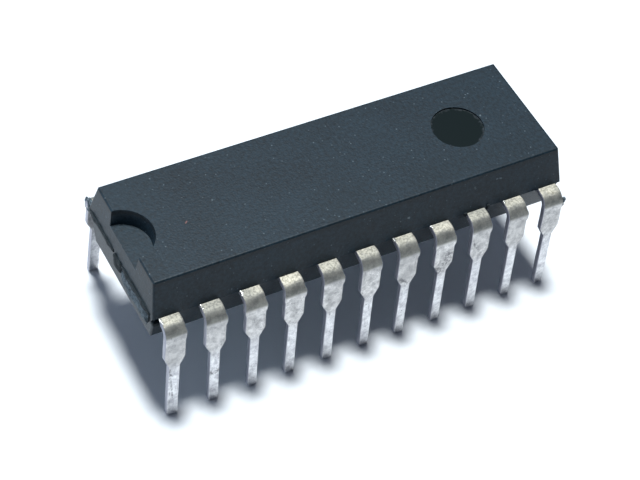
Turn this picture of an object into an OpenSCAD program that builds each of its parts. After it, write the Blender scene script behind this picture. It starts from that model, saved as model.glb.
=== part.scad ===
// Dual in-line integrated circuit in a 22-lead shrink package with a 1.778 mm lead pitch.
// The origin is at the middle of the lead tips' plane. X runs along the body, with the
// notched end at -X, Y runs across the two rows of leads, and Z points up.

/* [Moulded body] */
// Width of the body's upper half at the parting plane
body_width = 6.4; // [6.0:0.05:6.6]
// Body left beyond the middle of the last lead, at each end
end_margin = 0.71; // [0.65:0.01:1.5]
// Height of the upper half, above the leads' top face
upper_height = 1.71; // [1.2:0.01:2.4]
// Height of the lower half, below the leads' bottom face
lower_height = 1.42; // [1.0:0.01:1.8]
// Mould draft of the upper half's long sides, in degrees
upper_side_draft = 15.5; // [5:0.1:18]
// Mould draft of the lower half's long sides, in degrees
lower_side_draft = 14.6; // [5:0.1:20]
// Mould draft of the upper half's ends, in degrees
upper_end_draft = 5.8; // [3:0.1:12]
// Mould draft of the lower half's ends, in degrees
lower_end_draft = 3.6; // [2:0.1:12]
// Radius of the edges round the top and the underside
edge_radius = 0.1; // [0.04:0.01:0.2]
// Radius of the body's upright corners
corner_radius = 0.1; // [0.06:0.01:0.3]
// How far the lower half is set back at the parting plane, level with the leads' top face
parting_step = 0.04; // [0.02:0.01:0.08]

/* [Broken gate where the resin came in] */
// Width of the gate, across the notched end
gate_width = 2.5; // [1.0:0.1:2.6]
// Height of the gate, down from the parting plane
gate_height = 0.7; // [0.4:0.05:1.2]
// How far its broken stub stands out of the lower half
gate_stub = 0.03; // [0.01:0.01:0.1]
// Distance of the gate's middle from the middle of the body
gate_offset = 1.45; // [0:0.05:1.45]

/* [Notch that marks the end of lead 1] */
// Radius of the notch at the top face
notch_radius = 1.34; // [0.8:0.02:1.8]
// Depth of the notch
notch_depth = 0.78; // [0.3:0.02:1.0]
// Distance of the notch's centre from the end of the body
notch_inset = 0.06; // [0:0.02:0.4]
// Draft of the notch's wall, in degrees
notch_draft = 7; // [1:0.5:12]

/* [Marks of the mould's ejector pins] */
// Radius of each mark
mark_radius = 1.16; // [0.6:0.01:1.4]
// Depth of each mark
mark_depth = 0.07; // [0.02:0.01:0.2]
// Distance of a mark from the middle of the body
mark_offset = 6.0; // [4:0.1:6.6]

/* [Leads] */
// Number of leads in each row
leads_per_row = 11; // [9:2:13]
// Distance from one lead to the next
lead_spacing = 1.778; // [1.7:0.002:1.9]
// Distance between the two rows, measured at the middle of the legs just under the bends
row_spacing = 7.67; // [7.6:0.01:8.2]
// How far each row leans outwards, in degrees
splay = 3.7; // [0:0.1:10]
// Thickness of the lead frame
lead_thickness = 0.25; // [0.2:0.01:0.3]
// Width of a lead where it leaves the body
shoulder_width = 0.84; // [0.6:0.01:1.0]
// Width of a leg above the taper that stops it on the board
leg_width = 0.92; // [0.7:0.01:1.1]
// Width of the narrow end that goes through the board
pin_width = 0.44; // [0.26:0.01:0.6]
// Inside radius of the bend
bend_radius = 0.3; // [0.1:0.01:0.32]
// How far the stubs of the cut dam bar stand out of a lead's sides
dam_stub = 0.05; // [0.01:0.01:0.1]
// Length of those stubs below the bend
dam_length = 0.25; // [0.1:0.01:0.4]
// Angle of the bend that they cover, in degrees
dam_angle = 22; // [5:1:40]
// Length of a leg's wide part, from the bend to the taper
wide_length = 1.28; // [0.8:0.02:2.0]
// Length of the taper that stops the lead on the board
taper_length = 0.48; // [0.3:0.02:0.9]
// Length of the narrow end
pin_length = 3.05; // [2.4:0.05:4.5]
// Size of the small chamfers at the tip
tip_chamfer = 0.06; // [0.02:0.01:0.12]

/* [Lead frame inside the body] */
// Width of a lead's finger inside the body
finger_width = 0.3; // [0.2:0.01:0.36]
// Length of the wide root that holds a lead in the body
root_depth = 0.35; // [0.2:0.01:0.5]
// How far a finger runs into its root
root_lap = 0.1; // [0.05:0.01:0.15]
// Length of the die pad
pad_length = 6.0; // [5:0.1:6.4]
// Width of the die pad
pad_width = 2.8; // [2.3:0.1:3.0]
// Clearance between the die pad and the fingers
finger_clearance = 0.35; // [0.2:0.01:0.5]
// How far the die pad is set below the fingers
pad_downset = 0.25; // [0:0.01:0.5]
// Width of the bars that tie the pad to both ends of the body
tie_width = 0.4; // [0.3:0.05:0.6]
// Length of the sloping part of a tie bar
tie_slope_length = 0.45; // [0.3:0.05:0.8]

/* [Die and bond wires] */
// Length of the silicon die
die_length = 3.2; // [2.6:0.1:4.4]
// Width of the silicon die
die_width = 2.0; // [1.6:0.1:2.2]
// Thickness of the silicon die
die_thickness = 0.35; // [0.2:0.01:0.4]
// Thickness of the adhesive under the die
attach_thickness = 0.03; // [0.02:0.005:0.06]
// How far the adhesive shows round the die
attach_margin = 0.1; // [0.05:0.01:0.2]
// Diameter of a bond wire
wire_diameter = 0.03; // [0.02:0.001:0.05]
// Diameter of the ball that bonds a wire to the die
ball_diameter = 0.09; // [0.06:0.005:0.12]
// Thickness of that ball once it is pressed flat
ball_thickness = 0.03; // [0.02:0.005:0.04]
// Height of a wire's loop above the die
loop_height = 0.27; // [0.2:0.01:0.4]
// Distance of a wire's bonds from the edge of the die and from the end of the finger
bond_inset = 0.14; // [0.08:0.01:0.2]

/* [Hidden] */
$fn = 48;
lead_count = 2 * leads_per_row;
last_place = (leads_per_row - 1) / 2;
function two_digits(k) = str(k < 10 ? "0" : "", k);
LEADS = [for (k = [1:lead_count]) str("lead_", two_digits(k))];
WIRES = [for (k = [1:lead_count]) str("bond_wire_", two_digits(k))];

body_length = 2 * (last_place * lead_spacing + end_margin);
leg_length = wide_length + taper_length + pin_length;
bend_z = leg_length * cos(splay) - bend_radius * sin(splay);
frame_bottom = bend_z + bend_radius;
frame_top = frame_bottom + lead_thickness;
body_top = frame_top + upper_height;
body_bottom = frame_bottom - lower_height;

wall_y = body_width / 2;
bend_y = row_spacing / 2 - (bend_radius + lead_thickness / 2) * cos(splay);
knee_y = wall_y - root_depth;

pad_top = frame_top - pad_downset;
attach_top = pad_top + attach_thickness;
die_top = attach_top + die_thickness;

// Cutters reach this far past what they cut, and a stub this far into what carries it
past = 1;

// Leads at each end of a row whose fingers stop beside the die's short side
end_leads = 2;

// A lead's row is -1 on the side of lead 1, and its place counts from the middle of the row
function row_of(k) = k <= leads_per_row ? -1 : 1;
function place_of(k) = k <= leads_per_row ? k - 1 - last_place : lead_count - k - last_place;

// The fingers of the end leads stop in front of the pad's short sides, between its
// corner and its tie bar, and the others stop along its long sides
side_place = last_place - end_leads;
side_step = (pad_length / 2) / side_place;
end_step = (pad_width / 2 + finger_clearance - tie_width / 2) / (end_leads + 1);
function past_side(place) = abs(place) - side_place;
function tip_of(place) = past_side(place) <= 0
    ? [place * side_step, pad_width / 2 + finger_clearance]
    : [sign(place) * (pad_length / 2 + finger_clearance + bond_inset),
       pad_width / 2 + finger_clearance - past_side(place) * end_step];
function knee_of(place) = [place * lead_spacing, knee_y];
function unit(v) = v / norm(v);
function finger_way(place) = unit(knee_of(place) - tip_of(place));
function finger_bond(place) = tip_of(place) + bond_inset * finger_way(place);

// Bonds on the die lie along its edges in the same order as the fingers, evenly spaced
side_bond_step = die_length / (2 * side_place + 2);
end_bond_step = die_width / (2 * end_leads + 1);
function die_bond(place) = past_side(place) <= 0
    ? [place * side_bond_step, die_width / 2 - bond_inset]
    : [sign(place) * (die_length / 2 - bond_inset),
       (end_leads + 1 / 2 - past_side(place)) * end_bond_step];

// Copies a shape that is drawn for the row at +Y into a lead's own row
module in_row(k) {
    if (row_of(k) > 0) children();
    else mirror([0, 1, 0]) children();
}

// Section of a half body: a trapezium with rounded upper corners, standing on the parting plane
module half_section(width, height, draft) {
    round_x = width / 2 - edge_radius / cos(draft) - (height - edge_radius) * tan(draft);
    round_z = height - edge_radius;
    side = [round_x + edge_radius * cos(draft), round_z + edge_radius * sin(draft)];
    polygon([[-width / 2, 0], [width / 2, 0], side, [round_x, height],
             [-round_x, height], [-side[0], side[1]]]);
    for (x = [-round_x, round_x]) translate([x, round_z]) circle(r = edge_radius);
}

// What the rounding takes off one upright corner of a half body, at +X and +Y
module corner_waste(height, side_draft, end_draft) {
    lean = [-tan(end_draft), -tan(side_draft), 1];
    tilt = atan(norm([lean[0], lean[1]]));
    turn = atan2(lean[1], lean[0]);
    end_normal = [cos(end_draft), 0, sin(end_draft)];
    side_normal = [0, cos(side_draft), sin(side_draft)];
    across = [cos(tilt) * cos(turn), cos(tilt) * sin(turn), -sin(tilt)];
    along = [-sin(turn), cos(turn), 0];
    a = [end_normal * across, end_normal * along];
    b = [side_normal * across, side_normal * along];
    middle = (a + b) / (1 + a * b);
    reach = corner_radius + past;
    rotate([0, tilt, turn])
        translate([-corner_radius * middle[0], -corner_radius * middle[1], -past])
        linear_extrude(height + 2 * past) difference() {
            polygon([[0, 0], reach * a, reach * middle, reach * b]);
            circle(r = corner_radius);
        }
}

// One half of the body, standing on the parting plane, with its outline set back by the inset
module half_body(height, side_draft, end_draft, inset) {
    length = body_length - 2 * inset;
    width = body_width - 2 * inset;
    difference() {
        intersection() {
            rotate([90, 0, 0]) linear_extrude(width, center = true)
                half_section(length, height, end_draft);
            rotate([90, 0, 90]) linear_extrude(length, center = true)
                half_section(width, height, side_draft);
        }
        for (x = [0, 1], y = [0, 1]) mirror([x, 0, 0]) mirror([0, y, 0])
            translate([length / 2, width / 2, 0]) corner_waste(height, side_draft, end_draft);
    }
}

// What is left of the gate on the lower half, at the notched end
module gate() {
    face = parting_step - gate_stub - body_length / 2;
    lean = gate_height * tan(lower_end_draft);
    translate([0, gate_width / 2 - gate_offset, frame_top]) rotate([90, 0, 0])
        linear_extrude(gate_width)
        polygon([[face, 0], [face + lean, -gate_height], [face + past, -gate_height],
                 [face + past, 0]]);
}

module notch() {
    floor_radius = notch_radius - notch_depth * tan(notch_draft);
    translate([notch_inset - body_length / 2, 0, body_top - notch_depth])
        cylinder(h = notch_depth, r1 = floor_radius, r2 = notch_radius);
}

module ejector_mark(x, z) {
    translate([x, 0, z - mark_depth]) cylinder(h = 2 * mark_depth, r = mark_radius);
}

module body_blank() {
    difference() {
        union() {
            translate([0, 0, frame_top])
                half_body(upper_height, upper_side_draft, upper_end_draft, 0);
            translate([0, 0, frame_top]) mirror([0, 0, 1])
                half_body(lead_thickness + lower_height, lower_side_draft, lower_end_draft,
                          parting_step);
            gate();
        }
        notch();
        ejector_mark(mark_offset, body_top);
        for (side = [-1, 1]) ejector_mark(side * mark_offset, body_bottom);
    }
}

// A lead's finger in the body and its shoulder out to the bend, in the row at +Y
module finger(place) {
    tip = tip_of(place);
    knee = knee_of(place);
    way = finger_way(place);
    across = [-way[1], way[0]];
    mitre = unit(across + [-1, 0]);
    knee_half = finger_width / 2 / (mitre * across);
    half = finger_width / 2;
    translate([0, 0, frame_bottom]) linear_extrude(lead_thickness) {
        polygon([tip - half * across, knee - knee_half * mitre, knee + [half, root_lap],
                 knee + [-half, root_lap], knee + knee_half * mitre, tip + half * across]);
        polygon([knee + [-shoulder_width / 2, 0], knee + [shoulder_width / 2, 0],
                 [knee[0] + shoulder_width / 2, wall_y], [knee[0] + leg_width / 2, bend_y],
                 [knee[0] - leg_width / 2, bend_y], [knee[0] - shoulder_width / 2, wall_y]]);
    }
}

// A stretch of the bend, measured up from the leg
module bend_arc(place, width, angle) {
    translate([place * lead_spacing - width / 2, bend_y, bend_z]) rotate([90, 0, 90])
        rotate([0, 0, splay]) rotate_extrude(angle = angle) translate([bend_radius, 0])
        square([lead_thickness, width]);
}

// The bend stops short of a right angle, so that the leg leans outwards
module bend(place) {
    bend_arc(place, leg_width, 90 - splay);
    bend_arc(place, leg_width + 2 * dam_stub, dam_angle);
}

// One side of a leg's flat outline, from its bend at zero down to its tip
module half_leg_outline() {
    stop = -wide_length;
    neck = stop - taper_length;
    dam_side = leg_width / 2 + dam_stub;
    polygon([[0, 0], [dam_side, 0], [dam_side, -dam_length],
             [leg_width / 2, -dam_length - dam_stub], [leg_width / 2, stop], [pin_width / 2, neck],
             [pin_width / 2, tip_chamfer - leg_length], [pin_width / 2 - tip_chamfer, -leg_length],
             [0, -leg_length]]);
}

module leg(place) {
    translate([place * lead_spacing, bend_y, bend_z]) rotate([splay, 0, 0])
        translate([0, bend_radius + lead_thickness, 0]) rotate([90, 0, 0])
        linear_extrude(lead_thickness) {
            half_leg_outline();
            mirror([1, 0]) half_leg_outline();
        }
}

module lead(k) {
    color("silver") in_row(k) {
        finger(place_of(k));
        bend(place_of(k));
        leg(place_of(k));
    }
}

// Upper side of the strip that runs through the pad and its tie bars, in one half
function tie_line() = [[pad_length / 2, pad_top],
                       [pad_length / 2 + tie_slope_length, frame_top],
                       [body_length / 2, frame_top]];

// The pad and its two tie bars, bent from one sheet with the leads
module die_pad() {
    over = tie_line();
    under = [for (p = over) p - [0, lead_thickness]];
    right = concat(over, [for (i = [len(under) - 1:-1:0]) under[i]]);
    left = [for (i = [len(right) - 1:-1:0]) [-right[i][0], right[i][1]]];
    color("silver") {
        translate([0, 0, pad_top - lead_thickness / 2])
            cube([pad_length, pad_width, lead_thickness], center = true);
        rotate([90, 0, 0]) linear_extrude(tie_width, center = true)
            polygon(concat(right, left));
    }
}

module die_attach() {
    color("lightgray") translate([0, 0, pad_top + attach_thickness / 2])
        cube([die_length + 2 * attach_margin, die_width + 2 * attach_margin, attach_thickness],
             center = true);
}

module silicon_die() {
    color("slategray") translate([0, 0, attach_top + die_thickness / 2])
        cube([die_length, die_width, die_thickness], center = true);
}

// A wire rises from its ball, bends over and runs straight down to the finger
module bond_wire(k) {
    place = place_of(k);
    start = die_bond(place);
    run = finger_bond(place) - start;
    rise = die_top + ball_thickness / 2;
    loop_radius = loop_height - ball_thickness / 2;
    target = [norm(run) - loop_radius, frame_top - rise];
    touch = atan2(target[1], target[0]) + acos(loop_radius / norm(target));
    slope_length = sqrt(target * target - loop_radius * loop_radius);
    color("gold") in_row(k) difference() {
        translate([start[0], start[1], 0]) rotate([0, 0, atan2(run[1], run[0])]) {
            translate([0, 0, die_top]) cylinder(h = ball_thickness, d = ball_diameter);
            translate([loop_radius, 0, rise]) rotate([90, 0, 0]) rotate([0, 0, touch]) {
                rotate_extrude(angle = 180 - touch) translate([loop_radius, 0])
                    circle(d = wire_diameter);
                translate([loop_radius, 0, 0]) rotate([90, 0, 0])
                    cylinder(h = slope_length + wire_diameter, d = wire_diameter);
            }
        }
        translate([finger_bond(place)[0] - past, finger_bond(place)[1] - past, frame_top - past])
            cube([2 * past, 2 * past, past]);
    }
}

module moulded_body() {
    color([0.25, 0.28, 0.31]) difference() {
        body_blank();
        for (k = [1:lead_count]) in_row(k) finger(place_of(k));
        die_pad();
        die_attach();
        silicon_die();
        for (k = [1:lead_count]) bond_wire(k);
    }
}

moulded_body();
die_pad();
die_attach();
silicon_die();
for (k = [1:lead_count]) lead(k);
for (k = [1:lead_count]) bond_wire(k);
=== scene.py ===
"""Looks of a dual in-line circuit: its moulded body, its tinned leads, and the studio round them."""
import math
import random

import bmesh
import bpy
from mathutils import Matrix, Vector, noise


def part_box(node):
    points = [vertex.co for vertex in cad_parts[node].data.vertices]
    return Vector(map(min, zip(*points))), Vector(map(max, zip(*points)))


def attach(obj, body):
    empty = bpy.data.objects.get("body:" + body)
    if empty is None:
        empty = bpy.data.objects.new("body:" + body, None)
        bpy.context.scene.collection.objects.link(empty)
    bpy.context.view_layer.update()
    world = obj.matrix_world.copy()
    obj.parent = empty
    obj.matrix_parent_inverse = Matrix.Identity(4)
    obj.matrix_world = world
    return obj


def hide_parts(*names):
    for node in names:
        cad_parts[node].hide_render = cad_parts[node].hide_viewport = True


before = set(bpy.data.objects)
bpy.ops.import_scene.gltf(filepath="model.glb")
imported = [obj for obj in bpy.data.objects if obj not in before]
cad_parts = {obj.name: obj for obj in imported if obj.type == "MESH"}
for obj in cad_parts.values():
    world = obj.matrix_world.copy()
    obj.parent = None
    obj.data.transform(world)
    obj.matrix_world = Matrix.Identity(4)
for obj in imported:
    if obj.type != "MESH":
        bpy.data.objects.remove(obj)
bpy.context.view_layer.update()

MM = 0.001

# Sizes of the body and the leads, in millimetres, as the construction has them
LEADS_PER_ROW = 11
LEAD_SPACING = 1.778
LEAD_THICKNESS = 0.25
SPLAY = math.radians(3.7)
ROW_SPACING = 7.67
BEND_RADIUS = 0.3
SHOULDER_WIDTH = 0.84
LEG_WIDTH = 0.92
PIN_WIDTH = 0.44
WIDE_LENGTH = 1.28
TAPER_LENGTH = 0.48
TIP_CHAMFER = 0.06
DAM_STUB = 0.05
DAM_LENGTH = 0.25
DAM_ANGLE = math.radians(22)
PARTING_STEP = 0.04
MARK_RADIUS = 1.16
MARK_DEPTH = 0.07
MARK_OFFSET = 6.0

# Heights and walls, read from the frame
BODY_LOW, BODY_HIGH = (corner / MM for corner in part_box("moulded_body"))
FRAME_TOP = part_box("die_pad")[1].z / MM
FRAME_BOTTOM = FRAME_TOP - LEAD_THICKNESS
BEND_Z = FRAME_BOTTOM - BEND_RADIUS
BEND_MIDDLE = BEND_RADIUS + LEAD_THICKNESS / 2
BEND_Y = ROW_SPACING / 2 - BEND_MIDDLE * math.cos(SPLAY)
WALL_Y = BODY_HIGH.y
END_X = BODY_HIGH.x
LEG_LENGTH = (BEND_Z + BEND_RADIUS * math.sin(SPLAY)) / math.cos(SPLAY)
PIN_TOP = LEG_LENGTH - WIDE_LENGTH - TAPER_LENGTH

# Single flecks, three on the top and three on the near wall: start, end, width and tone
SKIN_FLECKS = (
    ((-6.95, -0.38, BODY_HIGH.z), (-6.86, -0.3, BODY_HIGH.z), 0.07, "#7d5550"),
    ((7.24, 0.2, BODY_HIGH.z), (7.3, 0.28, BODY_HIGH.z), 0.07, "#6d797e"),
    ((-5.47, 0.3, BODY_HIGH.z), (-5.4, 0.32, BODY_HIGH.z), 0.07, "#6d797e"),
    ((6.35, -2.87, 6.54), (6.65, -2.88, 6.5), 0.07, "#5d6a71"),
    ((5.27, -2.89, 6.46), (5.29, -2.89, 6.44), 0.1, "#6d797e"),
    ((2.04, -2.99, 6.1), (2.1, -2.99, 6.08), 0.1, "#6d797e"),
)

# Dark marks that the bending tool left on single leads: start, end and width
TOOL_MARKS = (
    ((3.35, -4.07, 3.25), (3.9, -4.01, 4.1), 0.55),
    ((-7.35, -4.16, 1.75), (-6.9, -4.16, 1.85), 0.26),
    ((-9.14, -4.09, 2.9), (-9.1, -4.13, 2.3), 0.14),
    ((-9.1, -4.13, 2.3), (-9.02, -4.2, 1.1), 0.07),
    ((1.5, -4.05, 3.5), (1.75, -4.07, 3.2), 0.24),
    ((5.0, -4.0, 4.2), (5.4, -4.05, 3.4), 0.14),
)

# The floor, and the pool of light painted on it, in millimetres
FLOOR_RADIUS = 2000.0
POOL_MIDDLE = (2.0, 6.0, 0.0)
POOL_RADIUS = 22.0
POOL_FADE = 12.0

# Where the camera looks and from how far, in millimetres, and its angles, as fitted to the photograph
VIEW_AIM = Vector((-1.530, -2.078, 5.331))
VIEW_DISTANCE = 84.12
VIEW_HEADING = math.radians(34.19)
VIEW_ELEVATION = math.radians(49.47)
VIEW_ROLL = math.radians(8.673)
LENS = 114.695
SENSOR_WIDTH = 36.0

# The softbox: the way towards it and how wide it looks, both from the photograph's shadow
SOFTBOX_WAY = Vector((0.015, 0.185, 1.0))
SOFTBOX_WIDTH = math.radians(11.4)
SOFTBOX_STRENGTH = 4.0
SOFTBOX_TONE = (0.9, 0.96, 1.0)

# The room's light from the horizon and below up to overhead, then the way towards its bright side,
# and how strong the light is there and opposite
ROOM_LIGHT = (
    (0.0, (0.065, 0.078, 0.115, 1.0)),
    (0.5, (0.075, 0.088, 0.13, 1.0)),
    (0.76, (0.15, 0.168, 0.21, 1.0)),
    (1.0, (0.06, 0.075, 0.112, 1.0)),
)
BRIGHT_WAY = (-0.35, 0.9, 0.0)
BRIGHT_SIDE = 1.6
DIM_SIDE = 0.2

# The window: the way towards it, its light, and its half widths where it ends and where it is full
WINDOW_WAY = Vector((-0.85, 0.5, 0.1)).normalized()
WINDOW_LIGHT = (0.79, 1.06, 1.36, 1.0)
WINDOW_EDGE = math.radians(34)
WINDOW_FULL = math.radians(20)


def linear(hex_colour):
    """An sRGB hex colour as linear RGBA."""
    channels = [int(hex_colour[i:i + 2], 16) / 255 for i in (1, 3, 5)]
    curve = [c / 12.92 if c <= 0.04045 else ((c + 0.055) / 1.055) ** 2.4 for c in channels]
    return (*curve, 1.0)


def add_node(tree, kind, inputs=None, **settings):
    """Adds a node. An input is a value, or the output that it is linked to."""
    made = tree.nodes.new(kind)
    for name, value in settings.items():
        setattr(made, name, value)
    for name, value in (inputs or {}).items():
        if isinstance(value, bpy.types.NodeSocket):
            tree.links.new(value, made.inputs[name])
        else:
            made.inputs[name].default_value = value
    return made


def new_material(name):
    """A material with an empty tree and its output node."""
    material = bpy.data.materials.new(name)
    material.use_nodes = True
    material.node_tree.nodes.clear()
    return material, material.node_tree, material.node_tree.nodes.new("ShaderNodeOutputMaterial")


def millimetres(tree):
    """The surface point in the part's own frame, in millimetres."""
    place = add_node(tree, "ShaderNodeTexCoord").outputs["Object"]
    return add_node(tree, "ShaderNodeVectorMath", {0: place, 1: (1 / MM,) * 3},
                    operation="MULTIPLY").outputs["Vector"]


def stroke(tree, point, start, end, width):
    """How far a point is inside a ragged and broken mark from start to end, from 0 to 1."""
    tear_size = 0.12
    along = Vector(end) - Vector(start)
    offset = add_node(tree, "ShaderNodeVectorMath", {0: point, 1: start}, operation="SUBTRACT").outputs[0]
    share = add_node(tree, "ShaderNodeVectorMath", {0: offset, 1: along / along.length_squared},
                     operation="DOT_PRODUCT").outputs["Value"]
    share = add_node(tree, "ShaderNodeClamp", {"Value": share}).outputs[0]
    reach = add_node(tree, "ShaderNodeVectorMath", {0: along, "Scale": share},
                     operation="SCALE").outputs[0]
    away = add_node(tree, "ShaderNodeVectorMath", {0: offset, 1: reach},
                    operation="DISTANCE").outputs["Value"]
    ragged = add_node(tree, "ShaderNodeTexNoise", {"Vector": point, "Scale": 1 / tear_size,
                                                   "Detail": 3.0}).outputs["Fac"]
    reach = add_node(tree, "ShaderNodeMath", {0: ragged, 1: width, 2: away},
                     operation="MULTIPLY_ADD").outputs[0]
    mark = add_node(tree, "ShaderNodeMapRange", {"Value": reach, "From Min": 1.15 * width,
                                                 "From Max": 0.6 * width}).outputs[0]
    broken = add_node(tree, "ShaderNodeMapRange", {"Value": ragged, "From Min": 0.62,
                                                   "From Max": 0.42}).outputs[0]
    return add_node(tree, "ShaderNodeMath", {0: mark, 1: broken}, operation="MULTIPLY").outputs[0]


def mark_floor(tree, point, axis):
    """How far a point is on the floor of an ejector mark, from 0 to 1. The rim is ragged. There is
    one mark in the top, and one towards each end of the underside."""
    # The noise adds 0.22 mm to a distance on average, so a border that far out falls on the radius
    rim_size = 0.2
    rim_depth = 0.45
    rim_start = MARK_RADIUS + 0.22
    rim_end = MARK_RADIUS + 0.12
    folded_x = add_node(tree, "ShaderNodeMath", {0: axis["X"]}, operation="ABSOLUTE").outputs[0]
    upper = add_node(tree, "ShaderNodeMath", {0: axis["Z"], 1: FRAME_TOP},
                     operation="GREATER_THAN").outputs[0]
    mark_x = add_node(tree, "ShaderNodeMix", {"Factor": upper, "A": folded_x, "B": axis["X"]}).outputs[0]
    from_mark = add_node(tree, "ShaderNodeMath", {0: mark_x, 1: MARK_OFFSET},
                         operation="SUBTRACT").outputs[0]
    mark_way = add_node(tree, "ShaderNodeCombineXYZ", {"X": from_mark, "Y": axis["Y"]}).outputs[0]
    mark_reach = add_node(tree, "ShaderNodeVectorMath", {0: mark_way}, operation="LENGTH").outputs["Value"]
    rim = add_node(tree, "ShaderNodeTexNoise", {"Vector": point, "Scale": 1 / rim_size,
                                                "Detail": 3.0}).outputs["Fac"]
    mark_reach = add_node(tree, "ShaderNodeMath", {0: rim, 1: rim_depth, 2: mark_reach},
                          operation="MULTIPLY_ADD").outputs[0]
    in_circle = add_node(tree, "ShaderNodeMapRange", {"Value": mark_reach, "From Min": rim_start,
                                                      "From Max": rim_end}).outputs[0]
    middle_z = (BODY_HIGH.z + BODY_LOW.z) / 2
    from_middle = add_node(tree, "ShaderNodeMath", {0: axis["Z"], 1: middle_z},
                           operation="SUBTRACT").outputs[0]
    height = add_node(tree, "ShaderNodeMath", {0: from_middle}, operation="ABSOLUTE").outputs[0]
    sunk = add_node(tree, "ShaderNodeMath", {0: height, 1: BODY_HIGH.z - middle_z - MARK_DEPTH / 2},
                    operation="LESS_THAN").outputs[0]
    return add_node(tree, "ShaderNodeMath", {0: in_circle, 1: sunk}, operation="MULTIPLY").outputs[0]


def painted_edge_shade(tree, axis):
    """How much painted shade a wall gets in a thin band just under the top edge, from 0 to 1."""
    band_start = BODY_HIGH.z - 0.3
    band_full = BODY_HIGH.z - 0.12
    edge = BODY_HIGH.z - 0.06
    darkest = 0.6
    band = add_node(tree, "ShaderNodeMapRange", {"Value": axis["Z"], "From Min": band_start,
                                                 "From Max": band_full}).outputs[0]
    on_wall = add_node(tree, "ShaderNodeMath", {0: axis["Z"], 1: edge}, operation="LESS_THAN").outputs[0]
    band = add_node(tree, "ShaderNodeMath", {0: band, 1: on_wall}, operation="MULTIPLY").outputs[0]
    return add_node(tree, "ShaderNodeMath", {0: band, 1: darkest}, operation="MULTIPLY").outputs[0]


def moulded_epoxy():
    """Black transfer-moulded epoxy. A spark-eroded mould leaves a fine dull grain on it, which
    lifts the black to a slate tone, and its silica filler shows as pale specks. The floors of
    the ejector marks come off polished pins, and are smoother and darker. Each wall also gets
    painted shade, a darker colour in a thin band under the top edge."""
    material, tree, output = new_material("moulded_epoxy")
    point = millimetres(tree)
    axis = add_node(tree, "ShaderNodeSeparateXYZ", {0: point}).outputs
    polished = mark_floor(tree, point, axis)
    dull = add_node(tree, "ShaderNodeMath", {0: 1.0, 1: polished}, operation="SUBTRACT").outputs[0]

    # The real grain and filler are a few hundredths of a millimetre, too fine to show, and are
    # drawn coarser
    grain_size = 0.09
    mottle_size = 0.16
    cloud_size = 2.5
    filler_size = 0.13
    grain = add_node(tree, "ShaderNodeTexNoise", {"Vector": point, "Scale": 1 / grain_size,
                                                  "Detail": 3.0, "Roughness": 0.6}).outputs["Fac"]
    mottle = add_node(tree, "ShaderNodeTexNoise", {"Vector": point, "Scale": 1 / mottle_size,
                                                   "Detail": 3.0, "Roughness": 0.7}).outputs["Fac"]
    cloud = add_node(tree, "ShaderNodeTexNoise", {"Vector": point, "Scale": 1 / cloud_size,
                                                  "Detail": 2.0, "Roughness": 0.5}).outputs["Fac"]
    shade = add_node(tree, "ShaderNodeMix", {"Factor": 0.25, "A": mottle, "B": cloud}).outputs[0]
    shade = add_node(tree, "ShaderNodeMapRange", {"Value": shade, "From Min": 0.37,
                                                  "From Max": 0.63}).outputs[0]
    filler = add_node(tree, "ShaderNodeTexVoronoi", {"Vector": point, "Scale": 1 / filler_size}).outputs
    filler_draw = add_node(tree, "ShaderNodeSeparateColor", {0: filler["Color"]}).outputs
    chosen = add_node(tree, "ShaderNodeMath", {0: filler_draw["Red"], 1: 0.9},
                      operation="GREATER_THAN").outputs[0]
    speck = add_node(tree, "ShaderNodeMapRange", {"Value": filler["Distance"], "From Min": 0.32,
                                                  "From Max": 0.1}).outputs[0]
    for share in (chosen, filler_draw["Green"], dull):
        speck = add_node(tree, "ShaderNodeMath", {0: speck, 1: share}, operation="MULTIPLY").outputs[0]

    skin = add_node(tree, "ShaderNodeMix", {"Factor": shade, "A": linear("#04161e"),
                                            "B": linear("#182d38")}, data_type="RGBA").outputs[2]
    floor_tone = add_node(tree, "ShaderNodeMix", {"Factor": polished, "A": skin, "B": linear("#122322")},
                          data_type="RGBA").outputs[2]
    colour = add_node(tree, "ShaderNodeMix", {"Factor": speck, "A": floor_tone, "B": linear("#5d6a71")},
                      data_type="RGBA").outputs[2]
    for start, end, width, tone in SKIN_FLECKS:
        fleck = stroke(tree, point, start, end, width)
        colour = add_node(tree, "ShaderNodeMix", {"Factor": fleck, "A": colour, "B": linear(tone)},
                          data_type="RGBA").outputs[2]
    # Painted shade: each wall is coloured darker in a thin band under its top edge
    colour = add_node(tree, "ShaderNodeMix", {"Factor": painted_edge_shade(tree, axis), "A": colour,
                                              "B": linear("#050b0e")}, data_type="RGBA").outputs[2]
    dull_roughness = add_node(tree, "ShaderNodeMapRange", {"Value": grain, "To Min": 0.42,
                                                           "To Max": 0.54}).outputs[0]
    roughness = add_node(tree, "ShaderNodeMix", {"Factor": polished, "A": dull_roughness,
                                                 "B": 0.38}).outputs[0]
    gloss = add_node(tree, "ShaderNodeMix", {"Factor": polished, "A": (1.0, 1.0, 1.0, 1.0),
                                             "B": (0.4, 0.4, 0.4, 1.0)}, data_type="RGBA").outputs[2]
    relief = add_node(tree, "ShaderNodeMath", {0: grain, 1: dull}, operation="MULTIPLY").outputs[0]
    bump = add_node(tree, "ShaderNodeBump", {"Height": relief, "Strength": 0.45,
                                             "Distance": 0.02 * MM}).outputs[0]
    shader = add_node(tree, "ShaderNodeBsdfPrincipled",
                      {"Base Color": colour, "Roughness": roughness, "IOR": 1.5,
                       "Specular IOR Level": 0.4, "Specular Tint": gloss, "Normal": bump})
    tree.links.new(shader.outputs[0], output.inputs["Surface"])
    return material


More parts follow.
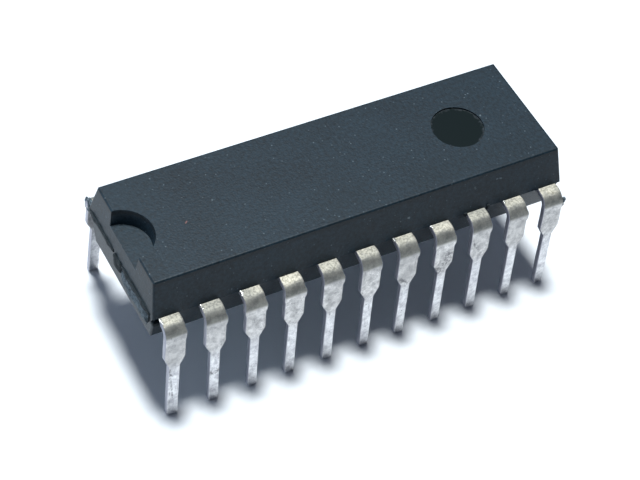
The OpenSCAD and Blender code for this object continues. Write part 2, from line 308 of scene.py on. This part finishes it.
def torn_epoxy(name, dark, pale):
    """The same epoxy where flash or the gate was broken off: coarse and dull, with no skin."""
    material, tree, output = new_material(name)
    tear_size = 0.12
    tear = add_node(tree, "ShaderNodeTexNoise", {"Vector": millimetres(tree), "Scale": 1 / tear_size,
                                                 "Detail": 5.0, "Roughness": 0.75}).outputs["Fac"]
    tear = add_node(tree, "ShaderNodeMapRange", {"Value": tear, "From Min": 0.35,
                                                 "From Max": 0.65}).outputs[0]
    colour = add_node(tree, "ShaderNodeMix", {"Factor": tear, "A": linear(dark), "B": linear(pale)},
                      data_type="RGBA").outputs[2]
    bump = add_node(tree, "ShaderNodeBump", {"Height": tear, "Strength": 0.8,
                                             "Distance": 0.03 * MM}).outputs[0]
    shader = add_node(tree, "ShaderNodeBsdfPrincipled",
                      {"Base Color": colour, "Roughness": 0.8, "IOR": 1.5, "Normal": bump})
    tree.links.new(shader.outputs[0], output.inputs["Surface"])
    return material


def matte_tin():
    """Matte electroplated tin on a stamped strip. The flats of the shoulders keep the rough cream
    plating. Round the bend it is duller, and coloured darker and olive. The tool has left the legs
    below blotched and scratched along their length. The stamped sides are dull, and scatter light."""
    material, tree, output = new_material("matte_tin")
    point = millimetres(tree)
    axis = add_node(tree, "ShaderNodeSeparateXYZ", {0: point}).outputs
    facing = add_node(tree, "ShaderNodeTexCoord").outputs["Normal"]
    facing_x = add_node(tree, "ShaderNodeSeparateXYZ", {0: facing}).outputs["X"]
    side = add_node(tree, "ShaderNodeMath", {0: facing_x}, operation="ABSOLUTE").outputs[0]
    side = add_node(tree, "ShaderNodeMapRange", {"Value": side, "From Min": 0.5,
                                                 "From Max": 0.8}).outputs[0]

    # The patterns. The plating's real grit is about 0.02 mm, too fine to show, and is drawn coarser
    cloud_size = 0.34
    grit_size = 0.09
    lead_tone_size = 2.3
    scratches_per_mm = (16.0, 4.0, 1.3)
    cloud = add_node(tree, "ShaderNodeTexNoise", {"Vector": point, "Scale": 1 / cloud_size,
                                                  "Detail": 5.0, "Roughness": 0.78}).outputs["Fac"]
    blotch = add_node(tree, "ShaderNodeMapRange", {"Value": cloud, "From Min": 0.36,
                                                   "From Max": 0.62}).outputs[0]
    grit = add_node(tree, "ShaderNodeTexNoise", {"Vector": point, "Scale": 1 / grit_size,
                                                 "Detail": 2.0, "Roughness": 0.6}).outputs["Fac"]
    speck = add_node(tree, "ShaderNodeMapRange", {"Value": grit, "From Min": 0.36,
                                                  "From Max": 0.6}).outputs[0]
    drawn = add_node(tree, "ShaderNodeVectorMath", {0: point, 1: scratches_per_mm},
                     operation="MULTIPLY").outputs["Vector"]
    marks = add_node(tree, "ShaderNodeTexNoise",
                     {"Vector": drawn, "Scale": 1.0, "Detail": 3.0, "Roughness": 0.6}).outputs["Fac"]
    lead_tone = add_node(tree, "ShaderNodeTexNoise", {"Vector": point, "Scale": 1 / lead_tone_size,
                                                      "Detail": 0.0}).outputs["Fac"]
    lead_tone = add_node(tree, "ShaderNodeMapRange", {"Value": lead_tone, "From Min": 0.35,
                                                      "From Max": 0.65}).outputs[0]

    # The zones down a lead, with uneven borders: flat shoulder, bend, wide leg and narrow end
    border_depth = 0.3
    unevenness = add_node(tree, "ShaderNodeMath", {0: cloud, 1: border_depth, 2: axis["Z"]},
                          operation="MULTIPLY_ADD").outputs[0]
    unwiped = add_node(tree, "ShaderNodeMapRange", {"Value": unevenness, "From Min": FRAME_TOP + 0.06,
                                                    "From Max": FRAME_TOP + 0.14}).outputs[0]
    # The band round the bend, coloured darker and olive, and duller
    round_bend = add_node(tree, "ShaderNodeMapRange", {"Value": unevenness, "From Min": BEND_Z + 0.12,
                                                    "From Max": BEND_Z + 0.28}).outputs[0]
    low = add_node(tree, "ShaderNodeMapRange", {"Value": axis["Z"], "From Min": PIN_TOP + 0.3,
                                                "From Max": PIN_TOP - 0.5}).outputs[0]

    # Scratches, pits and the marks of the bending tool
    scratch = add_node(tree, "ShaderNodeMapRange", {"Value": marks, "From Min": 0.66,
                                                    "From Max": 0.72}).outputs[0]
    pits = add_node(tree, "ShaderNodeMapRange", {"Value": grit, "From Min": 0.33,
                                                 "From Max": 0.25}).outputs[0]
    worn = add_node(tree, "ShaderNodeMath", {0: scratch, 1: pits}, operation="MAXIMUM").outputs[0]
    for start, end, width in TOOL_MARKS:
        worn = add_node(tree, "ShaderNodeMath", {0: worn, 1: stroke(tree, point, start, end, width)},
                        operation="MAXIMUM").outputs[0]
    worn = add_node(tree, "ShaderNodeMath", {0: worn, 1: 0.75}, operation="MULTIPLY").outputs[0]

    # The tones of the zones, of what is worn, and of the sides
    dark_cream = add_node(tree, "ShaderNodeMix", {"Factor": speck, "A": linear("#82807a"),
                                                  "B": linear("#b0ada0")}, data_type="RGBA").outputs[2]
    pale_cream = add_node(tree, "ShaderNodeMix", {"Factor": speck, "A": linear("#a59f8d"),
                                                  "B": linear("#dcd5c4")}, data_type="RGBA").outputs[2]
    cream = add_node(tree, "ShaderNodeMix", {"Factor": lead_tone, "A": dark_cream, "B": pale_cream},
                     data_type="RGBA").outputs[2]
    bend_tone = add_node(tree, "ShaderNodeMix", {"Factor": blotch, "A": linear("#81807b"),
                                             "B": linear("#aaa79d")}, data_type="RGBA").outputs[2]
    clean_face = add_node(tree, "ShaderNodeMix", {"Factor": lead_tone, "A": linear("#c5c3c1"),
                                                  "B": linear("#dfdddb")}, data_type="RGBA").outputs[2]
    face = add_node(tree, "ShaderNodeMix", {"Factor": blotch, "A": linear("#9c9b9b"), "B": clean_face},
                    data_type="RGBA").outputs[2]
    pin = add_node(tree, "ShaderNodeMix", {"Factor": blotch, "A": linear("#b2b2b7"),
                                           "B": linear("#ededee")}, data_type="RGBA").outputs[2]
    wiped = add_node(tree, "ShaderNodeMix", {"Factor": low, "A": face, "B": pin},
                     data_type="RGBA").outputs[2]
    wiped = add_node(tree, "ShaderNodeMix", {"Factor": worn, "A": wiped, "B": linear("#55555a")},
                     data_type="RGBA").outputs[2]
    bent = add_node(tree, "ShaderNodeMix", {"Factor": round_bend, "A": wiped, "B": bend_tone},
                    data_type="RGBA").outputs[2]
    colour = add_node(tree, "ShaderNodeMix", {"Factor": unwiped, "A": bent, "B": cream},
                      data_type="RGBA").outputs[2]
    colour = add_node(tree, "ShaderNodeMix", {"Factor": side, "A": colour, "B": linear("#a9a9b3")},
                      data_type="RGBA").outputs[2]

    smooth = add_node(tree, "ShaderNodeMapRange", {"Value": marks, "From Min": 0.3, "From Max": 0.7,
                                                   "To Min": 0.32, "To Max": 0.46}).outputs[0]
    roughness = add_node(tree, "ShaderNodeMix", {"Factor": round_bend, "A": smooth, "B": 0.55}).outputs[0]
    roughness = add_node(tree, "ShaderNodeMix", {"Factor": unwiped, "A": roughness, "B": 0.62}).outputs[0]
    dull = add_node(tree, "ShaderNodeMath", {0: round_bend, 1: side}, operation="MAXIMUM").outputs[0]
    metallic = add_node(tree, "ShaderNodeMapRange", {"Value": dull, "To Min": 1.0,
                                                     "To Max": 0.55}).outputs[0]
    relief = add_node(tree, "ShaderNodeMath", {0: grit, 1: marks}, operation="ADD").outputs[0]
    bump = add_node(tree, "ShaderNodeBump", {"Height": relief, "Strength": 0.5,
                                             "Distance": 0.016 * MM}).outputs[0]
    shader = add_node(tree, "ShaderNodeBsdfPrincipled",
                      {"Base Color": colour, "Metallic": metallic, "Roughness": roughness,
                       "Normal": bump})
    tree.links.new(shader.outputs[0], output.inputs["Surface"])
    return material


def bright_tin():
    """Bright burrs of tin that the shears raised at the edges of the shoulders. They glint."""
    material, tree, output = new_material("bright_tin")
    cut_size = 0.05
    cut = add_node(tree, "ShaderNodeTexNoise", {"Vector": millimetres(tree), "Scale": 1 / cut_size,
                                                "Detail": 2.0}).outputs["Fac"]
    roughness = add_node(tree, "ShaderNodeMapRange", {"Value": cut, "To Min": 0.2,
                                                      "To Max": 0.5}).outputs[0]
    shader = add_node(tree, "ShaderNodeBsdfPrincipled",
                      {"Base Color": linear("#f7f5ee"), "Metallic": 1.0, "Roughness": roughness})
    tree.links.new(shader.outputs[0], output.inputs["Surface"])
    return material


def tarnished_copper():
    """Bare copper alloy strip, dark where its sheared end has met the air."""
    material, tree, output = new_material("tarnished_copper")
    stain_size = 0.12
    stain = add_node(tree, "ShaderNodeTexNoise", {"Vector": millimetres(tree), "Scale": 1 / stain_size,
                                                  "Detail": 3.0}).outputs["Fac"]
    colour = add_node(tree, "ShaderNodeMix", {"Factor": stain, "A": linear("#26211f"),
                                              "B": linear("#4b423c")}, data_type="RGBA").outputs[2]
    shader = add_node(tree, "ShaderNodeBsdfPrincipled",
                      {"Base Color": colour, "Metallic": 1.0, "Roughness": 0.5})
    tree.links.new(shader.outputs[0], output.inputs["Surface"])
    return material


def filled_adhesive():
    """Silver-filled die attach adhesive, a grey paste with a faint glitter."""
    material, tree, output = new_material("filled_adhesive")
    flake_size = 0.03
    flakes = add_node(tree, "ShaderNodeTexNoise", {"Vector": millimetres(tree), "Scale": 1 / flake_size,
                                                   "Detail": 2.0}).outputs["Fac"]
    colour = add_node(tree, "ShaderNodeMix", {"Factor": flakes, "A": linear("#7f7d78"),
                                              "B": linear("#c4c2bc")}, data_type="RGBA").outputs[2]
    shader = add_node(tree, "ShaderNodeBsdfPrincipled",
                      {"Base Color": colour, "Metallic": 0.6, "Roughness": 0.5})
    tree.links.new(shader.outputs[0], output.inputs["Surface"])
    return material


def polished_silicon():
    """Polished silicon with the faint blocky tones of its circuit layers."""
    material, tree, output = new_material("polished_silicon")
    block_size = 0.25
    blocks = add_node(tree, "ShaderNodeTexVoronoi", {"Vector": millimetres(tree), "Scale": 1 / block_size},
                      distance="CHEBYCHEV").outputs["Color"]
    shade = add_node(tree, "ShaderNodeSeparateColor", {0: blocks}).outputs["Red"]
    colour = add_node(tree, "ShaderNodeMix", {"Factor": shade, "A": linear("#4a4f63"),
                                              "B": linear("#7f7c92")}, data_type="RGBA").outputs[2]
    shader = add_node(tree, "ShaderNodeBsdfPrincipled",
                      {"Base Color": colour, "Metallic": 1.0, "Roughness": 0.18})
    tree.links.new(shader.outputs[0], output.inputs["Surface"])
    return material


def drawn_gold():
    """Drawn gold bond wire, smooth and warm."""
    material, tree, output = new_material("drawn_gold")
    streak_size = 0.02
    streak = add_node(tree, "ShaderNodeTexNoise", {"Vector": millimetres(tree), "Scale": 1 / streak_size,
                                                   "Detail": 2.0}).outputs["Fac"]
    roughness = add_node(tree, "ShaderNodeMapRange", {"Value": streak, "To Min": 0.2,
                                                      "To Max": 0.32}).outputs[0]
    shader = add_node(tree, "ShaderNodeBsdfPrincipled",
                      {"Base Color": linear("#f0c96a"), "Metallic": 1.0, "Roughness": roughness})
    tree.links.new(shader.outputs[0], output.inputs["Surface"])
    return material


def white_card():
    """Plain matte white card, with a painted pool of light: its colour fades to pale grey away from the
    part.
    """
    material, tree, output = new_material("white_card")
    # Painted light: the colour of the card, not a lamp, fades from white to blue-grey outside the pool
    away = add_node(tree, "ShaderNodeVectorMath", {0: millimetres(tree), 1: POOL_MIDDLE},
                    operation="DISTANCE").outputs["Value"]
    fade = add_node(tree, "ShaderNodeMapRange", {"Value": away, "From Min": POOL_RADIUS,
                                                 "From Max": POOL_RADIUS + POOL_FADE},
                    interpolation_type="SMOOTHSTEP").outputs[0]
    colour = add_node(tree, "ShaderNodeMix", {"Factor": fade, "A": linear("#f6f7f8"),
                                              "B": linear("#98a5b2")}, data_type="RGBA").outputs[2]
    shader = add_node(tree, "ShaderNodeBsdfPrincipled", {"Base Color": colour, "Roughness": 0.9})
    tree.links.new(shader.outputs[0], output.inputs["Surface"])
    return material


# Distances down a leg, from the end of its bend, at which its outline turns, with its half width
# there: the wide part, the taper, the narrow end and its tip
LEG_OUTLINE = (
    (0.0, LEG_WIDTH / 2),
    (WIDE_LENGTH, LEG_WIDTH / 2),
    (WIDE_LENGTH + TAPER_LENGTH, PIN_WIDTH / 2),
    (LEG_LENGTH - TIP_CHAMFER, PIN_WIDTH / 2),
    (LEG_LENGTH, PIN_WIDTH / 2 - TIP_CHAMFER),
)
LEG_STEP = 0.08
BEND_STEPS = 24
SHOULDER_STEPS = 6
# The sheared stub of the dam bar swells over this much of the bend, and of the leg below it
STUB_RISE = math.radians(36)
STUB_FALL = 0.16
# A lead is joined to its finger this far inside the wall, in the root
ROOT_JOIN = 0.3
# The punch rolls over the edges of a lead's outer face, and leaves those of its inner face crisp
ROLLED_EDGE = 0.05
CRISP_EDGE = 0.014
LEAST_EDGE = 0.002
EDGE_STEPS = 3
FACE_SHARES = (0.05, 0.2, 0.4, 0.6, 0.8, 0.95)
SHARP_ANGLE = math.radians(32)
# Dents in a lead's faces, broad and fine: how deep they are, and how many there are to a millimetre
BROAD_DENT = 0.010
BROAD_RATE = 1.7
FINE_DENT = 0.004
FINE_RATE = 5.0


def leg_half_width(length):
    """Half the width of a leg, at a distance down from its bend."""
    for (above, wide), (below, narrow) in zip(LEG_OUTLINE, LEG_OUTLINE[1:]):
        if length <= below:
            return wide + (narrow - wide) * (length - above) / (below - above)
    return LEG_OUTLINE[-1][1]


def eased(share):
    """A share from 0 to 1, eased at both ends."""
    share = min(1.0, max(0.0, share))
    return share * share * (3 - 2 * share)


def lead_stations():
    """Sections along a lead, from inside the wall to the tip. Each is its place across the rows,
    its height, the angle of its outer face, its half width, how far the stub of the dam bar
    stands out, how far down the leg it is, and how far its edges have been rolled over. The
    stub and the rolled edges go from 0 to 1."""
    shoulder, leg = SHOULDER_WIDTH / 2, LEG_WIDTH / 2
    middle_z = FRAME_BOTTOM + LEAD_THICKNESS / 2
    upright = math.pi / 2
    root_y = WALL_Y - ROOT_JOIN
    stations = [(y, middle_z, upright, shoulder, 0.0, 0.0, 0.0)
                for y in (root_y, WALL_Y - PARTING_STEP)]
    for i in range(1, SHOULDER_STEPS):
        share = i / SHOULDER_STEPS
        y = WALL_Y - PARTING_STEP + (BEND_Y - WALL_Y + PARTING_STEP) * share
        half = shoulder + (leg - shoulder) * max(0.0, (y - WALL_Y) / (BEND_Y - WALL_Y))
        stations.append((y, middle_z, upright, half, 0.0, 0.0, share))
    stub_top = SPLAY + DAM_ANGLE + STUB_RISE / 2
    for i in range(BEND_STEPS + 1):
        angle = upright + (SPLAY - upright) * i / BEND_STEPS
        stations.append((BEND_Y + BEND_MIDDLE * math.cos(angle), BEND_Z + BEND_MIDDLE * math.sin(angle),
                         angle, leg, eased((stub_top - angle) / STUB_RISE), 0.0, 1.0))
    foot = stations[-1]
    lengths = {length for length, _ in LEG_OUTLINE[1:]}
    lengths |= {LEG_STEP * i for i in range(1, int(LEG_LENGTH / LEG_STEP) + 1)}
    for length in sorted(lengths):
        stub = 1 - eased((length - DAM_LENGTH + STUB_FALL / 2) / STUB_FALL)
        stations.append((foot[0] + length * math.sin(SPLAY), foot[1] - length * math.cos(SPLAY),
                         SPLAY, leg_half_width(length), stub, length, 1.0))
    return stations


def section_ring(half, rolled):
    """A lead's section as points (across, outwards), going round from the outer face."""
    thick = LEAD_THICKNESS / 2
    ring = []
    for turn, (side, face, edge) in enumerate(((1, 1, ROLLED_EDGE), (1, -1, CRISP_EDGE),
                                               (-1, -1, CRISP_EDGE), (-1, 1, ROLLED_EDGE))):
        radius = max(LEAST_EDGE, min(edge * rolled, half / 2))
        first = math.pi / 2 * (1 - turn)
        for i in range(EDGE_STEPS + 1):
            angle = first - math.pi / 2 * i / EDGE_STEPS
            ring.append((side * (half - radius) + radius * math.cos(angle),
                         face * (thick - radius) + radius * math.sin(angle)))
        if side != face:
            flat = ring[-1][0]
            other = max(LEAST_EDGE, min((CRISP_EDGE if face < 0 else ROLLED_EDGE) * rolled, half / 2))
            end = -side * (half - other)
            ring += [(flat + (end - flat) * share, face * thick) for share in FACE_SHARES]
    return ring


def lead_mesh(node, row, place_x, habit):
    """A lead with rolled edges and small dents, joined to its own finger inside the body.
    Its habit is how it leans, twists and widens towards its tip."""
    bm = bmesh.new()
    bm.from_mesh(node.data)
    bmesh.ops.scale(bm, vec=(1 / MM,) * 3, verts=bm.verts)
    root_y = row * (WALL_Y - ROOT_JOIN)
    cut = bmesh.ops.bisect_plane(bm, geom=bm.verts[:] + bm.edges[:] + bm.faces[:], dist=1e-5,
                                 plane_co=(0, root_y, 0), plane_no=(0, row, 0), clear_outer=True)
    root_edges = [e for e in cut["geom_cut"] if isinstance(e, bmesh.types.BMEdge)]
    rings = []
    for y, z, angle, half, stub, length, rolled in lead_stations():
        down = length / LEG_LENGTH
        narrow = min(1.0, max(0.0, (length - WIDE_LENGTH) / TAPER_LENGTH))
        half *= 1 + (habit["width"] - 1) * narrow
        turn = habit["twist"] * down
        left, right = (half + DAM_STUB * stub * stand for stand in habit["stubs"])
        half = (left + right) / 2
        shift = habit["lean"] * down + habit["slip"] + (right - left) / 2
        out = Vector((0, math.cos(angle), math.sin(angle)))
        ring = []
        for across, outwards in section_ring(half, rolled):
            side = across * math.cos(turn) - outwards * math.sin(turn)
            proud = across * math.sin(turn) + outwards * math.cos(turn)
            point = Vector((place_x + side + shift * rolled, y, z)) + out * proud
            dent = noise.noise(point * BROAD_RATE + Vector((habit["seed"], 0, 0))) * BROAD_DENT
            dent += noise.noise(point * FINE_RATE + Vector((0, habit["seed"], 0))) * FINE_DENT
            point += out * dent * rolled
            point.z = max(0.0, point.z)
            ring.append(bm.verts.new((point.x, row * point.y, point.z)))
        rings.append(ring)
    first = [bm.edges.new((rings[0][i - 1], rings[0][i])) for i in range(len(rings[0]))]
    for upper, lower in zip(rings, rings[1:]):
        for i in range(len(upper)):
            bm.faces.new((upper[i - 1], upper[i], lower[i], lower[i - 1]))
    bm.faces.new(rings[-1])
    bmesh.ops.bridge_loops(bm, edges=root_edges + first)
    bmesh.ops.recalc_face_normals(bm, faces=bm.faces[:])
    for edge in bm.edges:
        edge.smooth = len(edge.link_faces) == 2 and edge.calc_face_angle(0.0) < SHARP_ANGLE
    for face in bm.faces:
        face.smooth = True
    bmesh.ops.scale(bm, vec=(MM,) * 3, verts=bm.verts)
    mesh = bpy.data.meshes.new(node.name + "_formed")
    bm.to_mesh(mesh)
    bm.free()
    return mesh


def show(mesh, material, name):
    """A piece that rides on the part, with its finish and the record's slot."""
    mesh.materials.append(material)
    piece = bpy.data.objects.new(name, mesh)
    bpy.context.scene.collection.objects.link(piece)
    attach(piece, "root")
    return piece


def formed_leads(material):
    """The 22 leads, numbered round the body from the notched end. No two are bent quite alike, and
    lead 1 leans, twists and widens the most."""
    draw = random.Random(22)
    for number in range(1, 2 * LEADS_PER_ROW + 1):
        near = number <= LEADS_PER_ROW
        place = number - 1 if near else 2 * LEADS_PER_ROW - number
        place_x = (place - (LEADS_PER_ROW - 1) / 2) * LEAD_SPACING
        habit = {"lean": draw.uniform(-0.03, 0.03), "twist": draw.uniform(-0.05, 0.05),
                 "slip": draw.uniform(-0.012, 0.012), "width": draw.uniform(0.97, 1.05),
                 "stubs": (draw.uniform(-0.2, 1.1), draw.uniform(0.7, 1.6)),
                 "seed": draw.uniform(0, 90)}
        if number == 1:
            habit.update(lean=-0.11, twist=0.12, width=1.15)
        name = f"lead_{number:02d}"
        mesh = lead_mesh(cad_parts[name], -1 if near else 1, place_x, habit)
        piece = show(mesh, material, name + "_formed")
        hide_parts(name)


# The higher the power, the nearer a torn lump comes to a full box
LUMP_POWER = 5.0
MOST_CUTS = 60
# How many bumps a torn lump has to a millimetre, broad ones and fine ones
BROAD_TEAR = 3.1
FINE_TEAR = 9.0


def torn_lump(low, high, rough, fine=0.06):
    """A broken lump that fills a box, in millimetres, with a surface as rough as is asked and cut
    as fine as is asked."""
    bm = bmesh.new()
    bmesh.ops.create_cube(bm, size=2.0)
    half = (Vector(high) - Vector(low)) / 2
    middle = (Vector(high) + Vector(low)) / 2
    for way in (Vector((1, 0, 0)), Vector((0, 1, 0)), Vector((0, 0, 1))):
        cuts = min(MOST_CUTS, int(2 * abs(half.dot(way)) / fine))
        for i in range(1, cuts + 1):
            bmesh.ops.bisect_plane(bm, geom=bm.verts[:] + bm.edges[:] + bm.faces[:], dist=1e-6,
                                   plane_co=way * (2 * i / (cuts + 1) - 1), plane_no=way)
    for vert in bm.verts:
        box = vert.co.copy()
        rounding = sum(abs(c) ** LUMP_POWER for c in box) ** (1 / LUMP_POWER)
        point = middle + Vector(h * c for h, c in zip(half, box / rounding))
        tear = noise.noise_vector(point * BROAD_TEAR) * rough
        tear += noise.noise_vector(point * FINE_TEAR) * rough / 2
        vert.co = (point + tear) * MM
    for face in bm.faces:
        face.smooth = True
    mesh = bpy.data.meshes.new("torn_lump")
    bm.to_mesh(mesh)
    bm.free()
    return mesh


NOTCHED_END = -END_X
NEAR_WALL = -WALL_Y

# Torn pieces: name, finish, the low and the high corner of its box, and how rough it is
TORN_PIECES = (
    ("end_flash", "torn_flash", (NOTCHED_END - 0.05, 0.62, 5.24), (NOTCHED_END + 0.06, 3.1, 5.5), 0.03),
    ("tie_bar_stump", "torn_flash", (NOTCHED_END - 0.08, -0.17, 4.8), (NOTCHED_END + 0.05, 0.6, 5.42), 0.05),
    ("gate_scar", "gate_scar", (NOTCHED_END - 0.06, -2.78, 4.5), (NOTCHED_END + 0.05, -0.12, 5.24), 0.07),
    ("gate_flash", "torn_flash", (NOTCHED_END - 0.07, -2.9, 5.2), (NOTCHED_END + 0.06, -0.1, 5.42), 0.035),
    ("corner_flash", "torn_flash", (NOTCHED_END - 0.02, NEAR_WALL - 0.03, 4.92),
     (NOTCHED_END + 0.3, NEAR_WALL + 0.2, 5.12), 0.03),
    ("far_flash_high", "gate_scar", (-9.38, WALL_Y - 0.05, 5.04), (-9.28, 3.74, 5.38), 0.03),
    ("far_flash_low", "gate_scar", (-9.4, 3.6, 4.5), (-9.3, 4.0, 5.16), 0.04),
    ("crumb_left", "torn_flash", (4.74, NEAR_WALL - 0.06, 5.22), (4.92, NEAR_WALL + 0.06, 5.42), 0.03),
    ("crumb_right", "torn_flash", (5.87, NEAR_WALL - 0.06, 5.2), (6.0, NEAR_WALL + 0.06, 5.45), 0.03),
    ("stub_burr", "gate_scar", (9.36, -3.96, 4.74), (9.47, -3.82, 5.12), 0.03),
    ("stub_crumb", "torn_flash", (9.38, -3.95, 4.6), (9.46, -3.84, 4.72), 0.02),
)


def flash_and_gate():
    """What the mould left and the shears tore: flash along the parting line of the notched end,
    the stump of the tie bar, the scar of the gate, and crumbs at the shoulders."""
    finishes = {"torn_flash": torn_epoxy("torn_flash", "#0c1417", "#232f34"),
                "gate_scar": torn_epoxy("gate_scar", "#2c383e", "#7d8a91")}
    for name, finish, low, high, rough in TORN_PIECES:
        piece = show(torn_lump(low, high, rough), finishes[finish], name)
        piece.data.name = name


# The near leads whose shoulders were sheared blunt, with the number of bright burrs on each
BLUNT_SHOULDERS = ((1, 4), (2, 3), (3, 3), (7, 2), (8, 2), (10, 2))
# The burrs' places: how far the first is from the wall, and each from the one before it
FIRST_BURR = 0.03
BURR_SPACING = 0.09
# The least and the most half length of a burr, and how far right of the corner it may lie
BURR_HALF = (0.035, 0.06)
BURR_STRAY = (-0.01, 0.03)
# How rough a burr is, and how finely its surface is cut
BURR_ROUGH = 0.02
BURR_CUT = 0.02


def edge_burrs(material):
    """Bright burrs along the left corners of the near shoulders that were sheared blunt."""
    draw = random.Random(7)
    for number, count in BLUNT_SHOULDERS:
        corner_x = (number - 1 - (LEADS_PER_ROW - 1) / 2) * LEAD_SPACING - SHOULDER_WIDTH / 2
        for i in range(count):
            y = -WALL_Y - FIRST_BURR - BURR_SPACING * i
            size = draw.uniform(*BURR_HALF)
            x = corner_x + draw.uniform(*BURR_STRAY)
            middle = Vector((x, y, FRAME_TOP - 0.005))
            reach = Vector((size, size * 0.9, size * 0.7))
            mesh = torn_lump(middle - reach, middle + reach, BURR_ROUGH, fine=BURR_CUT)
            show(mesh, material, f"shoulder_burr_{number}_{i + 1}")


def dress(prefix, material):
    """Gives a finish to the CAD nodes whose names start so."""
    for name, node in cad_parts.items():
        if name.startswith(prefix):
            node.data.materials.clear()
            node.data.materials.append(material)
            for polygon in node.data.polygons:
                polygon.material_index = 0


def camera():
    """The photograph's view: its heading is from +Y towards +X, and its roll tips the right side up."""
    forward = Vector((math.sin(VIEW_HEADING) * math.cos(VIEW_ELEVATION),
                      math.cos(VIEW_HEADING) * math.cos(VIEW_ELEVATION), -math.sin(VIEW_ELEVATION)))
    level = Vector((math.cos(VIEW_HEADING), -math.sin(VIEW_HEADING), 0))
    right = level * math.cos(VIEW_ROLL) + level.cross(forward) * math.sin(VIEW_ROLL)
    up = right.cross(forward)
    turn = Matrix((right, up, -forward)).transposed()
    data = bpy.data.cameras.new("camera")
    data.sensor_fit = "HORIZONTAL"
    data.sensor_width = SENSOR_WIDTH
    data.lens = LENS
    data.clip_start = 1.0 * MM
    seat = bpy.data.objects.new("camera", data)
    seat.matrix_world = Matrix.Translation((VIEW_AIM - forward * VIEW_DISTANCE) * MM) @ turn.to_4x4()
    bpy.context.scene.collection.objects.link(seat)
    bpy.context.scene.camera = seat


def key_light():
    """A small softbox nearly overhead, far enough off to light the floor evenly."""
    data = bpy.data.lights.new("key", "SUN")
    data.energy = SOFTBOX_STRENGTH
    data.angle = SOFTBOX_WIDTH
    data.color = SOFTBOX_TONE
    lamp = bpy.data.objects.new("key", data)
    lamp.rotation_euler = SOFTBOX_WAY.to_track_quat("Z", "Y").to_euler()
    bpy.context.scene.collection.objects.link(lamp)


def room():
    """A dim cool room, darkest behind the camera. A window at the left lights the notched end."""
    world = bpy.data.worlds.new("room")
    bpy.context.scene.world = world
    world.use_nodes = True
    tree = world.node_tree
    tree.nodes.clear()
    way = add_node(tree, "ShaderNodeTexCoord").outputs["Generated"]
    height = add_node(tree, "ShaderNodeSeparateXYZ", {0: way}).outputs["Z"]
    ramp = add_node(tree, "ShaderNodeValToRGB", {0: height})
    stops = ramp.color_ramp.elements
    stops.remove(stops[1])
    for i, (place, colour) in enumerate(ROOM_LIGHT):
        stop = stops.new(place) if i else stops[0]
        stop.position = place
        stop.color = colour
    facing = add_node(tree, "ShaderNodeVectorMath", {0: way, 1: BRIGHT_WAY},
                      operation="DOT_PRODUCT").outputs["Value"]
    strength = add_node(tree, "ShaderNodeMapRange", {"Value": facing, "From Min": -1.0, "From Max": 1.0,
                                                     "To Min": DIM_SIDE, "To Max": BRIGHT_SIDE}).outputs[0]
    towards = add_node(tree, "ShaderNodeVectorMath", {0: way, 1: WINDOW_WAY},
                       operation="DOT_PRODUCT").outputs["Value"]
    window = add_node(tree, "ShaderNodeMapRange", {"Value": towards, "From Min": math.cos(WINDOW_EDGE),
                                                   "From Max": math.cos(WINDOW_FULL)}).outputs[0]
    colour = add_node(tree, "ShaderNodeMix", {"Factor": window, "A": ramp.outputs["Color"],
                                              "B": WINDOW_LIGHT}, data_type="RGBA").outputs[2]
    back = add_node(tree, "ShaderNodeBackground", {"Color": colour, "Strength": strength})
    out = add_node(tree, "ShaderNodeOutputWorld")
    tree.links.new(back.outputs[0], out.inputs["Surface"])


def floor(material):
    """A wide white floor under the tips of the leads."""
    bm = bmesh.new()
    bmesh.ops.create_circle(bm, cap_ends=True, radius=FLOOR_RADIUS * MM, segments=64)
    mesh = bpy.data.meshes.new("floor")
    bm.to_mesh(mesh)
    bm.free()
    mesh.materials.append(material)
    plane = bpy.data.objects.new("floor", mesh)
    bpy.context.scene.collection.objects.link(plane)


camera()
key_light()
room()
floor(white_card())
bpy.context.scene.view_settings.view_transform = "Standard"

# Vector noise is drawn from the clock unless it has a seed
noise.seed_set(4)
tin = matte_tin()
copper = tarnished_copper()
formed_leads(tin)
edge_burrs(bright_tin())
flash_and_gate()
dress("moulded_body", moulded_epoxy())
dress("die_pad", copper)
dress("die_attach", filled_adhesive())
dress("silicon_die", polished_silicon())
dress("bond_wire", drawn_gold())
